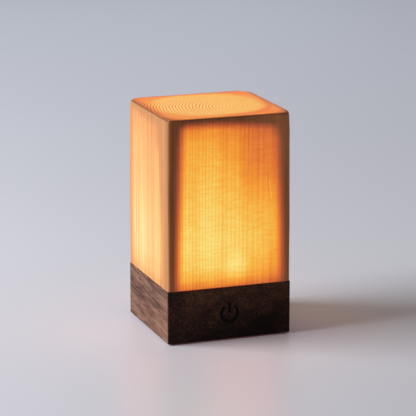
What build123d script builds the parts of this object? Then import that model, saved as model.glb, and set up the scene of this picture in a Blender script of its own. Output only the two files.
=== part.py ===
"""Cordless desk lamp: a hollow softwood block, lit from inside, standing on a walnut base.

Millimetres. The origin is under the middle of the lamp, on the surface that it stands on.
+Z is up, the face with the power symbol looks along -Y and the charging port is in the +Y face.
The wooden shade lifts straight up off the base, where four pairs of magnets hold it.
"""

from build123d import *
from math import acos, cos, degrees, pi, radians, sin, tan
import os

# Outside of the lamp
width = 90.0
depth = 85.0
height = 158.0
seam_height = 38.0
foot_proud = 0.8

# Wooden shade
shade_wall = 7.0
shade_top = 7.0
shade_cavity_radius = 6.0
shade_edge_radius = 2.6
shade_top_radius = 2.6
shade_rim_chamfer = 0.4

# Walnut base
base_edge_radius = 1.2
base_foot_radius = 1.0
base_rim_chamfer = 0.25
tenon_height = 5.0
tenon_clearance = 0.4
pocket_wall = 8.0
pocket_web = 8.0
cutter_radius = 3.0
corner_post = 10.0
rebate_margin = 5.0
cover_clearance = 0.3

# Engraved power symbol, which is the touch key
symbol_height = 19.2
symbol_radius = 5.95
symbol_stroke = 1.8
symbol_gap_half_angle = 35.0
symbol_bar_length = 7.2
symbol_bar_low = 0.7
symbol_depth = 0.4

# Magnets between base and shade
magnet_diameter = 5.0
magnet_thickness = 3.0
magnet_inset = 5.0
magnet_sunk = 0.2
magnet_clearance = 0.05

# Bottom cover, its screws and the feet over them
cover_thickness = 3.0
foot_diameter = 10.0
foot_recess = 1.0
foot_clearance = 0.1
cover_screw_diameter = 2.6
cover_screw_head = 5.0
cover_screw_head_height = 1.4
cover_screw_length = 11.0
cross_slot_length = 2.8
cross_slot_width = 0.6
cross_slot_depth = 0.7
thread_clearance = 0.05
screw_end_room = 0.5

# Battery cell, lying along X in two saddles on the cover, its length set by the base's pocket
cell_diameter = 18.5
cell_end_room = 4.4
cell_y = -12.0
cell_edge_radius = 0.8
nub_diameter = 5.5
nub_length = 0.8
cell_pad_rise = 1.2
cell_pad_room = 4.5
cell_pad_width = 8.0
cell_pad_edge = 2.3
saddle_inset = 8.6
saddle_thickness = 3.0
saddle_width = 15.0
saddle_height = 8.0
saddle_clearance = 0.1
tab_thickness = 0.3
tab_height = 7.0
tab_reach = 7.3
tab_overhang = 2.5
lug_length = 3.4
lug_height = 4.5

# Main board, on four posts of the cover
board_thickness = 1.6
board_side_room = 12.0
board_front = 1.5
board_rear_gap = 1.0
board_post_height = 4.0
board_post_diameter = 5.0
board_post_inset = 3.6
board_screw_diameter = 2.0
board_screw_head = 3.6
board_screw_head_height = 1.2
board_screw_length = 4.6
board_tongue_width = 18.0
board_tongue_gap = 0.9
board_corner_radius = 1.0
board_hole_clearance = 0.15

# What stands on the main board: charge chip, driver chip, choke, capacitors and three plugs.
# An inset is counted from the board's nearer side edge, a rise from its middle line, a set-back
# from its front edge.
charge_chip_size = (4.9, 3.9, 1.6)
charge_chip_legs = 4
charge_chip_pitch = 1.27
charge_chip_inset = 14.0
charge_chip_rise = 2.5
driver_chip_size = (2.9, 1.6, 1.1)
driver_chip_legs = 3
driver_chip_pitch = 0.95
driver_chip_inset = 15.5
driver_chip_rise = 3.5
chip_edge = 0.2
chip_lift = 0.1
leg_width = 0.4
leg_reach = 1.0
leg_thickness = 0.3
choke_size = (6.0, 6.0, 3.0)
choke_corner_radius = 1.0
choke_edge = 0.3
choke_inset = 8.5
choke_rise = 3.0
capacitor_size = (2.0, 1.25, 1.2)
capacitor_room = 0.9
capacitor_side_room = 3.0
capacitor_spread = 2.6
battery_plug_size = (6.0, 8.0, 5.0)
battery_plug_inset = 9.0
battery_plug_setback = 6.5
led_plug_size = (6.0, 4.5, 6.0)
led_plug_setback = 10.0
touch_plug_size = (6.5, 4.2, 4.0)
touch_plug_inset = 12.0
touch_plug_setback = 5.5
plug_skirt = 0.3
plug_skirt_share = 0.7

# Charging port in the rear wall
port_wall = 3.0
port_width = 13.0
port_height = 7.2
port_radius = 2.6
port_bay_width = 21.0
port_bay_headroom = 4.0
socket_width = 8.94
socket_height = 3.26
socket_length = 7.3
socket_skin = 0.3
socket_gap = 0.2
socket_back = 1.4
tongue_width = 6.7
tongue_thickness = 0.7
tongue_length = 4.6

# Touch sensor behind the symbol
touch_wall = 2.5
touch_bay_width = 24.0
touch_tape_size = 18.0
touch_tape_thickness = 0.8
touch_pad_diameter = 16.0
touch_pad_thickness = 0.2
touch_board_size = 20.0
touch_board_thickness = 1.2
touch_chip_size = (2.9, 1.6, 1.1)
touch_chip_pitch = 0.95
touch_leg_reach = 0.6

# Light source on top of the base
led_board_diameter = 44.0
led_board_thickness = 1.6
led_ring_inset = 8.0
led_ring_count = 8
led_inner_radius = 6.0
led_inner_count = 4
led_length = 3.5
led_width = 2.8
led_height = 0.7
wire_hole_diameter = 5.0
wire_hole_inset = 5.0
thermal_pad_thickness = 0.5
spreader_thickness = 3.0
spreader_clearance = 0.5
dome_board_gap = 1.0
dome_wall = 1.6
dome_height = 22.0
dome_crown_rise = 9.4
dome_shoulder_radius = 6.0
dome_flange_width = 4.9
dome_flange_inset = 0.5
dome_flange_thickness = 1.5
dome_screw_start = 30.0
dome_screw_count = 3
dome_screw_hole_clearance = 0.2
dome_screw_diameter = 2.6
dome_screw_head = 4.4
dome_screw_head_height = 1.5
dome_screw_length = 9.0
pan_head_round = 0.6
pan_slot_width = 0.5
pan_slot_share = 0.6

# Wires
power_wire_diameter = 1.4
power_wire_exit = 5.3
power_wire_bow = 2.0
led_wire_diameter = 1.2
led_wire_spread = 1.1
led_wire_low_turn = 8.5
led_wire_high_turn = 2.0
led_wire_sway = 0.3
led_loop_rise = 4.6
led_loop_reach = 5.0
touch_wire_diameter = 1.0
touch_wire_pitch = 1.3
touch_wire_rise = 6.8
touch_wire_aside = 4.0
touch_wire_exit = 9.8
touch_wire_over_cell = 3.7
touch_wire_past_cell = 2.1
touch_wire_drift = 3.0
touch_wire_far = 11.0
touch_wire_drop = 6.6
plug_pitch = 2.0
arc_share = 0.45

# Levels and places that follow from the sizes above
wood_bottom = foot_proud
cover_top = wood_bottom + cover_thickness
pocket_ceiling = seam_height - pocket_web
pocket_width = width - 2 * pocket_wall
pocket_depth = depth - 2 * pocket_wall
post_x = pocket_width / 2 - corner_post / 2
post_y = pocket_depth / 2 - corner_post / 2
tenon_top = seam_height + tenon_height
cavity_width = width - 2 * shade_wall
cavity_depth = depth - 2 * shade_wall
front_y = -depth / 2
rear_y = depth / 2
cell_length = pocket_width - 2 * cell_end_room
cell_z = cover_top + cell_pad_rise + cell_diameter / 2
cell_top = cell_z + cell_diameter / 2
saddle_x = cell_length / 2 - saddle_inset
cell_pad_length = 2 * (saddle_x - saddle_thickness / 2 - cell_pad_room)
board_width = pocket_width - 2 * board_side_room
board_low = cover_top + board_post_height
board_top = board_low + board_thickness
board_rear = pocket_depth / 2 - board_rear_gap
port_face = rear_y - port_wall
socket_z = board_top + socket_height / 2
spreader_top = seam_height + spreader_thickness
led_board_low = spreader_top + thermal_pad_thickness
led_board_top = led_board_low + led_board_thickness
led_ring_radius = led_board_diameter / 2 - led_ring_inset
wire_hole_y = led_board_diameter / 2 - wire_hole_inset
touch_face = front_y + touch_wall
touch_board_rear = touch_face + touch_tape_thickness + touch_pad_thickness + touch_board_thickness
dome_radius = led_board_diameter / 2 + dome_board_gap + dome_wall
dome_crown_radius = dome_radius + dome_crown_rise
dome_flange_radius = dome_radius + dome_flange_width
dome_screw_circle = (dome_radius + dome_flange_radius) / 2
spreader_diameter = 2 * (dome_flange_radius + dome_flange_inset)
board_middle = (board_front + board_rear) / 2
charge_chip_centre = (charge_chip_inset - board_width / 2, board_middle + charge_chip_rise)
driver_chip_centre = (board_width / 2 - driver_chip_inset, board_middle + driver_chip_rise)
choke_centre = (board_width / 2 - choke_inset, board_middle + choke_rise)
battery_plug_centre = (board_width / 2 - battery_plug_inset, board_front + battery_plug_setback)
led_plug_centre = (0.0, board_front + led_plug_setback)
touch_plug_centre = (touch_plug_inset - board_width / 2, board_front + touch_plug_setback)
cut_through = 1.0


def slab(size_x, size_y, low, high, corner=0.0, centre=(0.0, 0.0)):
    """A block between two heights, with its upright edges rounded where corner isn't zero."""
    outline = RectangleRounded(size_x, size_y, corner) if corner else Rectangle(size_x, size_y)
    return extrude(Plane.XY.offset(low) * Pos(*centre) * outline, high - low)


def disc(diameter, low, high, centre=(0.0, 0.0)):
    """An upright cylinder between two heights."""
    return extrude(Plane.XY.offset(low) * Pos(*centre) * Circle(diameter / 2), high - low)


def corners(x, y):
    """The four mirrored places of one corner of the lamp."""
    return [(sx * x, sy * y) for sx in (-1, 1) for sy in (-1, 1)]


def gather(solids):
    """One node out of several separate solids."""
    return Compound(children=[solid for piece in solids for solid in piece.solids()])


def magnet_places():
    return corners(width / 2 - magnet_inset, depth / 2 - magnet_inset)


def dome_screw_places():
    turns = [radians(dome_screw_start + 360 * i / dome_screw_count) for i in range(dome_screw_count)]
    return [(dome_screw_circle * cos(a), dome_screw_circle * sin(a)) for a in turns]


def board_post_places():
    x = board_width / 2 - board_post_inset
    rows = (board_front + board_post_inset, board_rear - board_post_inset)
    return [(sx * x, y) for sx in (-1, 1) for y in rows]


def wood_shade():
    """The hollowed block: a cap with four walls, open below."""
    block = slab(width, depth, seam_height, height, shade_edge_radius)
    block = fillet(block.edges().group_by(Axis.Z)[-1], shade_top_radius)
    block = chamfer(block.edges().group_by(Axis.Z)[0], shade_rim_chamfer)
    block -= slab(cavity_width, cavity_depth, seam_height, height - shade_top, shade_cavity_radius)
    for place in magnet_places():
        block -= disc(magnet_diameter + 2 * magnet_clearance, seam_height,
                      seam_height + magnet_sunk + magnet_thickness, place)
    return block


def power_symbol():
    """The broken ring with its upright bar, as the solid that the engraving removes."""
    ring = Circle(symbol_radius + symbol_stroke / 2) - Circle(symbol_radius - symbol_stroke / 2)
    reach = 2 * symbol_radius
    half = reach * tan(radians(symbol_gap_half_angle))
    ring -= make_face(Polyline((0, 0), (half, reach), (-half, reach), close=True))
    bar = Pos(0, symbol_bar_low + symbol_bar_length / 2) * SlotCenterToCenter(
        symbol_bar_length - symbol_stroke, symbol_stroke, rotation=90)
    face = Plane(origin=(0, front_y, symbol_height), x_dir=(1, 0, 0), z_dir=(0, -1, 0))
    return extrude(face * (ring + bar), -symbol_depth)


def base_pocket():
    """The hollow milled from below, with a post of wood left in each corner."""
    plan = Rectangle(pocket_width, pocket_depth - 2 * corner_post)
    plan += Rectangle(pocket_width - 2 * corner_post, pocket_depth)
    plan = fillet(plan.vertices(), cutter_radius)
    pocket = extrude(Plane.XY.offset(cover_top) * plan, pocket_ceiling - cover_top)
    bay_depth = -touch_face - pocket_depth / 2 + cutter_radius
    pocket += slab(touch_bay_width, bay_depth, cover_top, pocket_ceiling,
                   centre=(0, touch_face + bay_depth / 2))
    bay_depth = port_face - pocket_depth / 2 + cutter_radius
    pocket += slab(port_bay_width, bay_depth, cover_top, board_top + socket_height + port_bay_headroom,
                   centre=(0, port_face - bay_depth / 2))
    return pocket


def walnut_base():
    """The dark block, with the tenon on top that centres the shade."""
    block = slab(width, depth, wood_bottom, seam_height, base_edge_radius)
    block = fillet(block.edges().group_by(Axis.Z)[0], base_foot_radius)
    block = chamfer(block.edges().group_by(Axis.Z)[-1], base_rim_chamfer)
    block += slab(cavity_width - 2 * tenon_clearance, cavity_depth - 2 * tenon_clearance,
                  seam_height - cut_through, tenon_top, shade_cavity_radius - tenon_clearance)
    block -= slab(width - 2 * rebate_margin, depth - 2 * rebate_margin,
                  wood_bottom, cover_top, cutter_radius)
    block -= base_pocket()
    block -= power_symbol()
    port = RectangleRounded(port_width, port_height, port_radius)
    block -= extrude(socket_plane(port_face - cut_through) * port, port_wall + 2 * cut_through)
    block -= disc(spreader_diameter + 2 * spreader_clearance, seam_height, tenon_top)
    block -= disc(wire_hole_diameter, pocket_ceiling - cut_through, seam_height, (0, wire_hole_y))
    for place in magnet_places():
        block -= disc(magnet_diameter + 2 * magnet_clearance,
                      seam_height - magnet_sunk - magnet_thickness, seam_height, place)
    for place in corners(post_x, post_y):
        block -= disc(cover_screw_diameter + 2 * thread_clearance, cover_top,
                      wood_bottom + foot_recess + cover_screw_length + screw_end_room, place)
    screw_end = spreader_top + dome_flange_thickness - dome_screw_length
    for place in dome_screw_places():
        block -= disc(dome_screw_diameter + 2 * thread_clearance,
                      screw_end - screw_end_room, seam_height, place)
    return block


def magnets(low):
    return gather([disc(magnet_diameter, low, low + magnet_thickness, place) for place in magnet_places()])


def cell_hollow(clearance):
    """The room that the cell takes, as a cylinder along X."""
    axis = Plane(origin=(-cell_length / 2 - cut_through, cell_y, cell_z), z_dir=(1, 0, 0))
    return extrude(axis * Circle(cell_diameter / 2 + clearance), cell_length + 2 * cut_through)


def bottom_cover():
    """The plate that closes the base, with saddles for the cell and posts for the board."""
    margin = rebate_margin + cover_clearance
    plate = slab(width - 2 * margin, depth - 2 * margin, wood_bottom, cover_top,
                 cutter_radius - cover_clearance)
    for side in (-1, 1):
        saddle = slab(saddle_thickness, saddle_width, cover_top, cover_top + saddle_height,
                      centre=(side * saddle_x, cell_y))
        plate += saddle - cell_hollow(saddle_clearance)
    for place in board_post_places():
        plate += disc(board_post_diameter, cover_top, board_low, place)
        plate -= disc(board_screw_diameter + 2 * thread_clearance,
                      board_top - board_screw_length - screw_end_room, board_low, place)
    for place in corners(post_x, post_y):
        plate -= disc(foot_diameter + 2 * foot_clearance, wood_bottom, wood_bottom + foot_recess, place)
        plate -= cover_screw(place, thread_clearance)
    return plate


def cover_screw(place, clearance=0.0):
    """A countersunk screw, upside down, or with a clearance the hole that it passes through."""
    low = wood_bottom + foot_recess
    wide = cover_screw_head / 2 + clearance
    slim = cover_screw_diameter / 2 + clearance
    neck = low + cover_screw_head_height
    outline = Polyline((0, low), (wide, low), (slim, neck), (slim, low + cover_screw_length),
                       (0, low + cover_screw_length), close=True)
    return Pos(*place, 0) * revolve(make_face(Plane.XZ * outline), Axis.Z)


def cover_screws():
    """Each has a cross slot in its head."""
    low = wood_bottom + foot_recess
    cross = slab(cross_slot_length, cross_slot_width, low, low + cross_slot_depth)
    cross += slab(cross_slot_width, cross_slot_length, low, low + cross_slot_depth)
    return gather([cover_screw(place) - Pos(*place, 0) * cross for place in corners(post_x, post_y)])


def rubber_feet():
    """Four pads, each pressed into the recess over a screw."""
    pads = []
    for place in corners(post_x, post_y):
        pad = disc(foot_diameter, 0, wood_bottom + foot_recess, place)
        pads.append(chamfer(pad.edges().group_by(Axis.Z)[0], foot_proud / 3))
    return gather(pads)


def battery_cell():
    """A cylindrical lithium cell, with its positive nub towards +X."""
    start = Plane(origin=(-cell_length / 2, cell_y, cell_z), z_dir=(1, 0, 0))
    can = extrude(start * Circle(cell_diameter / 2), cell_length - nub_length)
    can = fillet(can.edges().filter_by(GeomType.CIRCLE), cell_edge_radius)
    tip = Plane(origin=(cell_length / 2 - nub_length, cell_y, cell_z), z_dir=(1, 0, 0))
    return can + extrude(tip * Circle(nub_diameter / 2), nub_length)


def battery_tabs():
    """A nickel strip welded to each end of the cell, its lug bent outwards for the wire."""
    strips = []
    for side in (-1, 1):
        near = side * cell_length / 2
        strip_y = cell_y + (tab_reach - tab_overhang) / 2
        strip = Pos(near + side * tab_thickness / 2, strip_y, cell_z) * Box(
            tab_thickness, tab_reach + tab_overhang, tab_height)
        lug = Pos(near + side * lug_length / 2, cell_y + tab_reach - tab_thickness / 2, cell_z) * Box(
            lug_length, tab_thickness, lug_height)
        strips.append(strip + lug)
    return gather(strips)


def battery_pad():
    """Foam tape between cell and cover, pressed to the cell's curve."""
    tape = slab(cell_pad_length, cell_pad_width, cover_top, cover_top + cell_pad_edge, centre=(0, cell_y))
    return tape - cell_hollow(0)


def main_board():
    """The board, with a tongue at the back that carries the charging socket."""
    board = slab(board_width, board_rear - board_front, board_low, board_top, board_corner_radius,
                 (0, board_middle))
    tongue_end = port_face - board_tongue_gap
    board += slab(board_tongue_width, tongue_end - board_middle, board_low, board_top,
                  centre=(0, (tongue_end + board_middle) / 2))
    for place in board_post_places():
        board -= disc(board_screw_diameter + 2 * board_hole_clearance, board_low, board_top, place)
    return board


def pan_screw(place, seat, diameter, head, head_height, length):
    """A pan-head screw with a cross slot, whose head stands on the height seat."""
    body = disc(head, seat, seat + head_height, place)
    body = fillet(body.edges().group_by(Axis.Z)[-1], head_height * pan_head_round)
    slot_low, slot_length = seat + head_height / 2, head * pan_slot_share
    body -= slab(slot_length, pan_slot_width, slot_low, seat + head_height, centre=place)
    body -= slab(pan_slot_width, slot_length, slot_low, seat + head_height, centre=place)
    return body + disc(diameter, seat - length, seat, place)


def board_screws():
    return gather([pan_screw(place, board_top, board_screw_diameter, board_screw_head,
                             board_screw_head_height, board_screw_length)
                   for place in board_post_places()])


def socket_outline(inset):
    """The flattened oval of the charging socket, drawn in the XZ plane."""
    return SlotOverall(socket_width - 2 * inset, socket_height - 2 * inset)


def socket_plane(y):
    return Plane(origin=(0, y, socket_z), x_dir=(-1, 0, 0), z_dir=(0, 1, 0))


def usb_socket_shell():
    """The steel sleeve that the charging plug slides into."""
    mouth = port_face - socket_gap
    ring = socket_outline(0) - socket_outline(socket_skin)
    return extrude(socket_plane(mouth - socket_length) * ring, socket_length)


def usb_socket_tongue():
    """The plastic core, with the contact tongue that reaches into the plug."""
    back = port_face - socket_gap - socket_length
    core = extrude(socket_plane(back) * socket_outline(socket_skin), socket_back)
    tongue = Pos(0, back + socket_back + tongue_length / 2, socket_z) * Box(
        tongue_width, tongue_length, tongue_thickness)
    return core + tongue


def leaded_chip(centre, size, legs, pitch):
    """A moulded chip on the main board, with a row of legs along each long side."""
    x, y = centre
    long, wide, tall = size
    body = slab(long, wide, board_top + chip_lift, board_top + tall, centre=centre)
    body = chamfer(body.edges().group_by(Axis.Z)[-1], chip_edge)
    for i in range(legs):
        leg_x = x + (i - (legs - 1) / 2) * pitch
        body += slab(leg_width, wide + 2 * leg_reach, board_top, board_top + leg_thickness, centre=(leg_x, y))
    return body


def inductor():
    """A shielded power choke beside the driver chip."""
    long, wide, tall = choke_size
    choke = slab(long, wide, board_top, board_top + tall, choke_corner_radius, choke_centre)
    return chamfer(choke.edges().group_by(Axis.Z)[-1], choke_edge)


def capacitors():
    """Ceramic blocks: two beside the charge chip, two beside the driver chip, two between them."""
    long, wide, tall = capacitor_size
    charge_x, charge_y = charge_chip_centre
    driver_x, driver_y = driver_chip_centre
    beyond_legs = leg_reach + capacitor_room + wide / 2
    charge_off = charge_chip_size[1] / 2 + beyond_legs
    driver_off = driver_chip_size[1] / 2 + beyond_legs
    beside_charge = charge_x + (charge_chip_size[0] + long) / 2 + capacitor_side_room
    beside_driver = driver_x - (driver_chip_size[0] + long) / 2 - capacitor_side_room
    places = [(charge_x, charge_y - charge_off), (charge_x, charge_y + charge_off),
              (driver_x, driver_y + driver_off), (beside_driver, driver_y),
              (beside_charge, charge_y - capacitor_spread), (beside_charge, charge_y + capacitor_spread)]
    return gather([slab(long, wide, board_top, board_top + tall, centre=place) for place in places])


def plug(centre, size):
    """A plug in its socket, with the socket's wider skirt at the board."""
    wide, long, tall = size
    body = slab(wide - 2 * plug_skirt, long - 2 * plug_skirt, board_top, board_top + tall, centre=centre)
    return body + slab(wide, long, board_top, board_top + tall * plug_skirt_share, centre=centre)


def touch_tape():
    return Pos(0, touch_face + touch_tape_thickness / 2, symbol_height) * Box(
        touch_tape_size, touch_tape_thickness, touch_tape_size)


def touch_pad():
    """The round copper electrode."""
    start = Plane(origin=(0, touch_face + touch_tape_thickness, symbol_height), z_dir=(0, 1, 0))
    return extrude(start * Circle(touch_pad_diameter / 2), touch_pad_thickness)


def touch_board():
    return Pos(0, touch_board_rear - touch_board_thickness / 2, symbol_height) * Box(
        touch_board_size, touch_board_thickness, touch_board_size)


def touch_chip():
    """The sensor chip on the back of the touch board, with three legs above and below."""
    long, wide, tall = touch_chip_size
    chip = Pos(0, touch_board_rear + tall / 2, symbol_height) * Box(long, tall, wide)
    for i in (-1, 0, 1):
        chip += Pos(touch_chip_pitch * i, touch_board_rear + leg_thickness / 2, symbol_height) * Box(
            leg_width, leg_thickness, wide + 2 * touch_leg_reach)
    return chip


def heat_spreader():
    """The aluminium plate under the light-emitting board."""
    plate = disc(spreader_diameter, seam_height, spreader_top)
    plate -= disc(wire_hole_diameter, seam_height, spreader_top, (0, wire_hole_y))
    for place in dome_screw_places():
        plate -= disc(dome_screw_diameter + 2 * dome_screw_hole_clearance, seam_height, spreader_top, place)
    return plate


def light_disc(low, high):
    """A round of the light board's size, with the hole that its wires come up through."""
    return disc(led_board_diameter, low, high) - disc(wire_hole_diameter, low, high, (0, wire_hole_y))


def led_chips():
    """Two rings of chips, each turned by half a step so that none meets the wires."""
    chips = []
    for count, radius in ((led_ring_count, led_ring_radius), (led_inner_count, led_inner_radius)):
        for i in range(count):
            turn = 360 * (i + 0.5) / count
            seat = Rot(0, 0, turn) * Pos(radius, 0, led_board_top + led_height / 2)
            chips.append(seat * Box(led_width, led_length, led_height))
    return gather(chips)


def dome_body(radius, crown_radius, shoulder, low, top):
    """A cylinder closed by a shallow crown, with a rounded shoulder."""
    crown_centre = top - crown_radius
    edge_angle = degrees(acos(radius / crown_radius))
    crown = CenterArc((0, crown_centre), crown_radius, edge_angle, 90 - edge_angle)
    outline = [Line((0, low), (radius, low)), Line((radius, low), crown @ 0), crown, Line(crown @ 1, (0, low))]
    half = make_face(outline)
    half = fillet(half.vertices().sort_by_distance(crown @ 0)[0], shoulder)
    return revolve(Plane.XZ * half, Axis.Z)


def diffuser_dome():
    """The opal cap over the lights, with the flange that its screws hold."""
    top = spreader_top + dome_height
    flange_top = spreader_top + dome_flange_thickness
    dome = dome_body(dome_radius, dome_crown_radius, dome_shoulder_radius, spreader_top, top)
    dome += disc(2 * dome_flange_radius, spreader_top, flange_top)
    dome -= dome_body(dome_radius - dome_wall, dome_crown_radius - dome_wall,
                      dome_shoulder_radius - dome_wall, spreader_top, top - dome_wall)
    for place in dome_screw_places():
        dome -= disc(dome_screw_diameter + 2 * dome_screw_hole_clearance, spreader_top, flange_top, place)
    return dome


def dome_screws():
    return gather([pan_screw(place, spreader_top + dome_flange_thickness, dome_screw_diameter,
                             dome_screw_head, dome_screw_head_height, dome_screw_length)
                   for place in dome_screw_places()])


def wire(name, points, diameter):
    """A round wire along straight runs joined by arcs as large as the runs allow."""
    points = [Vector(*point) for point in points]
    radii = []
    for before, corner, after in zip(points, points[1:], points[2:]):
        arrive, leave = corner - before, after - corner
        half_turn = radians(arrive.get_angle(leave) / 2)
        radii.append(arc_share * min(arrive.length, leave.length) / tan(half_turn))
    route = FilletPolyline(*points, radius=radii)
    section = Plane(origin=route @ 0, z_dir=route % 0) * Circle(diameter / 2)
    tube = sweep(section, path=route)
    expected = pi * diameter ** 2 / 4 * route.length
    print(f"{name}: length {route.length:.1f}, volume {tube.volume / expected:.4f} of section x length,",
          "radii", [round(radius, 1) for radius in radii])
    return tube


def battery_lead(name, side, bows=()):
    """From the lug at one end of the cell to the battery plug's front face.

    At each share of its way in bows, the wire stands higher than a straight one would.
    """
    start = Vector(side * (cell_length + lug_length) / 2, cell_y + tab_reach, cell_z)
    entry = Vector(battery_plug_centre[0] + side * plug_pitch / 2,
                   battery_plug_centre[1] - battery_plug_size[1] / 2,
                   board_top + battery_plug_size[2] / 2)
    leave = start + Vector(0, power_wire_exit, 0)
    arrive = entry - Vector(0, power_wire_exit, 0)
    middle = [leave + (arrive - leave) * share + Vector(0, 0, power_wire_bow) for share in bows]
    route = [start, leave, *middle, arrive, entry]
    return wire(name, [(point.X, point.Y, point.Z) for point in route], power_wire_diameter)


def battery_lead_red():
    return battery_lead("battery_lead_red", 1)


def battery_lead_black():
    return battery_lead("battery_lead_black", -1, (0.25, 0.6))


def led_lead(name, side):
    """From the plug up through the web, then over and down to the light board."""
    x = side * led_wire_spread
    plug_y = led_plug_centre[1]
    start = (x, plug_y, board_top + led_plug_size[2])
    loop_top = led_board_top + led_loop_rise
    loop_end = wire_hole_y - led_loop_reach
    return wire(name, [start, (x, plug_y, pocket_ceiling - led_wire_low_turn),
                       (x, wire_hole_y, pocket_ceiling - led_wire_high_turn),
                       (x, wire_hole_y - led_wire_sway, (pocket_ceiling + loop_top) / 2),
                       (x, wire_hole_y, loop_top), (x, loop_end, loop_top), (x, loop_end, led_board_top)],
                led_wire_diameter)


def touch_lead():
    """Three wires from the touch board, over the cell and down into their plug."""
    strands = []
    start_z = symbol_height + touch_wire_rise
    plug_y = touch_plug_centre[1]
    plug_top = board_top + touch_plug_size[2]
    for i in (-1, 0, 1):
        shift = i * touch_wire_pitch
        x = touch_plug_centre[0] + shift
        start_x = shift - touch_wire_aside
        route = [(start_x, touch_board_rear, start_z), (start_x, touch_board_rear + touch_wire_exit, start_z),
                 (start_x - touch_wire_drift, cell_y, cell_top + touch_wire_over_cell),
                 (x, cell_y + touch_wire_far, cell_top + touch_wire_past_cell),
                 (x, plug_y, plug_top + touch_wire_drop), (x, plug_y, plug_top)]
        strands.append(wire(f"touch_lead {i}", route, touch_wire_diameter))
    return gather(strands)


nodes = {
    "wood_shade": wood_shade(),
    "shade_magnets": magnets(seam_height + magnet_sunk),
    "walnut_base": walnut_base(),
    "base_magnets": magnets(seam_height - magnet_sunk - magnet_thickness),
    "bottom_cover": bottom_cover(),
    "cover_screws": cover_screws(),
    "rubber_feet": rubber_feet(),
    "battery_cell": battery_cell(),
    "battery_tabs": battery_tabs(),
    "battery_pad": battery_pad(),
    "main_board": main_board(),
    "board_screws": board_screws(),
    "usb_socket_shell": usb_socket_shell(),
    "usb_socket_tongue": usb_socket_tongue(),
    "charge_chip": leaded_chip(charge_chip_centre, charge_chip_size, charge_chip_legs, charge_chip_pitch),
    "driver_chip": leaded_chip(driver_chip_centre, driver_chip_size, driver_chip_legs, driver_chip_pitch),
    "inductor": inductor(),
    "capacitors": capacitors(),
    "battery_plug": plug(battery_plug_centre, battery_plug_size),
    "led_plug": plug(led_plug_centre, led_plug_size),
    "touch_plug": plug(touch_plug_centre, touch_plug_size),
    "touch_tape": touch_tape(),
    "touch_pad": touch_pad(),
    "touch_board": touch_board(),
    "touch_chip": touch_chip(),
    "heat_spreader": heat_spreader(),
    "thermal_pad": light_disc(spreader_top, led_board_low),
    "led_board": light_disc(led_board_low, led_board_top),
    "led_chips": led_chips(),
    "diffuser_dome": diffuser_dome(),
    "dome_screws": dome_screws(),
    "battery_lead_red": battery_lead_red(),
    "battery_lead_black": battery_lead_black(),
    "led_lead_red": led_lead("led_lead_red", 1),
    "led_lead_black": led_lead("led_lead_black", -1),
    "touch_lead": touch_lead(),
}

os.makedirs("parts", exist_ok=True)
for name, solid in nodes.items():
    export_step(solid, f"parts/{name}.step")
print(len(nodes), "nodes written")
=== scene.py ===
# %% [markdown]
# # A cordless lamp made of two woods
# A hollowed block of softwood glows from inside and stands on a dark walnut base with an engraved power
# symbol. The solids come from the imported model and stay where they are. This notebook gives each of them
# its finish, adds the few pieces that are finer than the solids, and sets up the floor, the light and the
# camera. Everything is in metres, with +Z up and the power symbol towards -Y.

# %% Load the frame
import math

import bpy
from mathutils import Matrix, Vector


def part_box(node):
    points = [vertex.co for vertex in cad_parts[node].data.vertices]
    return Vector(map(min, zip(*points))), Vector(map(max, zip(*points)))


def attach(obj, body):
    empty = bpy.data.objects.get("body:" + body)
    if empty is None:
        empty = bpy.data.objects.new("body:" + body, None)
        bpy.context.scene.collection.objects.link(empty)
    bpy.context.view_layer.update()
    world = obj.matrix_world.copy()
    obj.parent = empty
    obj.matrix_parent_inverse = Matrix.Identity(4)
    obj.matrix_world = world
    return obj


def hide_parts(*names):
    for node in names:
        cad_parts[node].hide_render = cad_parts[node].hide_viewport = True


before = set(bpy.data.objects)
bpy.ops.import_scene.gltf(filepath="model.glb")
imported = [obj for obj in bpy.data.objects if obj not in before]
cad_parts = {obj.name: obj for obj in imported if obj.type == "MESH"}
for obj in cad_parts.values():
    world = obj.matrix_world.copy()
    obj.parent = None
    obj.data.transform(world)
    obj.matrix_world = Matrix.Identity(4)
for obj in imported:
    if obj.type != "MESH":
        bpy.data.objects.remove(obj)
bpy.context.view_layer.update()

# %% [markdown]
# ## Camera
# A product shot like this one is taken with a long lens, so that upright edges stay nearly parallel. The
# camera could be placed by eye, but then a wrong angle and a wrong size can hide each other. It was found by
# laying the lamp's real edges over the edges in the photograph. It stands 1.6 metres away, to the left of the
# front face and a little above the lamp.

# %% Camera
camera_turn = math.radians(-19.781)
camera_tilt = math.radians(90 - 13.850)
camera = bpy.data.objects.new("camera", bpy.data.cameras.new("camera"))
camera.location = (-0.519058, -1.441516, 0.461908)
camera.rotation_euler = (camera_tilt, 0, camera_turn)
camera.data.lens = 194.61
camera.data.sensor_width = 36
bpy.context.scene.collection.objects.link(camera)
bpy.context.scene.camera = camera
print("camera is", round(camera.location.length, 2), "m from the foot of the lamp")

# %% [markdown]
# ## Sizes
# The finishes follow the wood, so they need to know where its faces are. The sizes could be typed in again,
# but a copy goes wrong when the model changes. A node's box gives the lowest and the highest corner of its
# solid, and a pattern that is placed from these moves with the lamp.

# %% Sizes read from the solids
MM = 0.001
shade_low, shade_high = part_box("wood_shade")
base_low, base_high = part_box("walnut_base")
half_width, half_depth = shade_high.x / MM, shade_high.y / MM
top, seam = shade_high.z / MM, shade_low.z / MM
print(f"shade from {seam:.1f} to {top:.1f} mm, half width {half_width:.1f}, half depth {half_depth:.1f}")
print(f"base from {base_low.z / MM:.1f} to {base_high.z / MM:.1f} mm, with its tenon")

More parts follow.
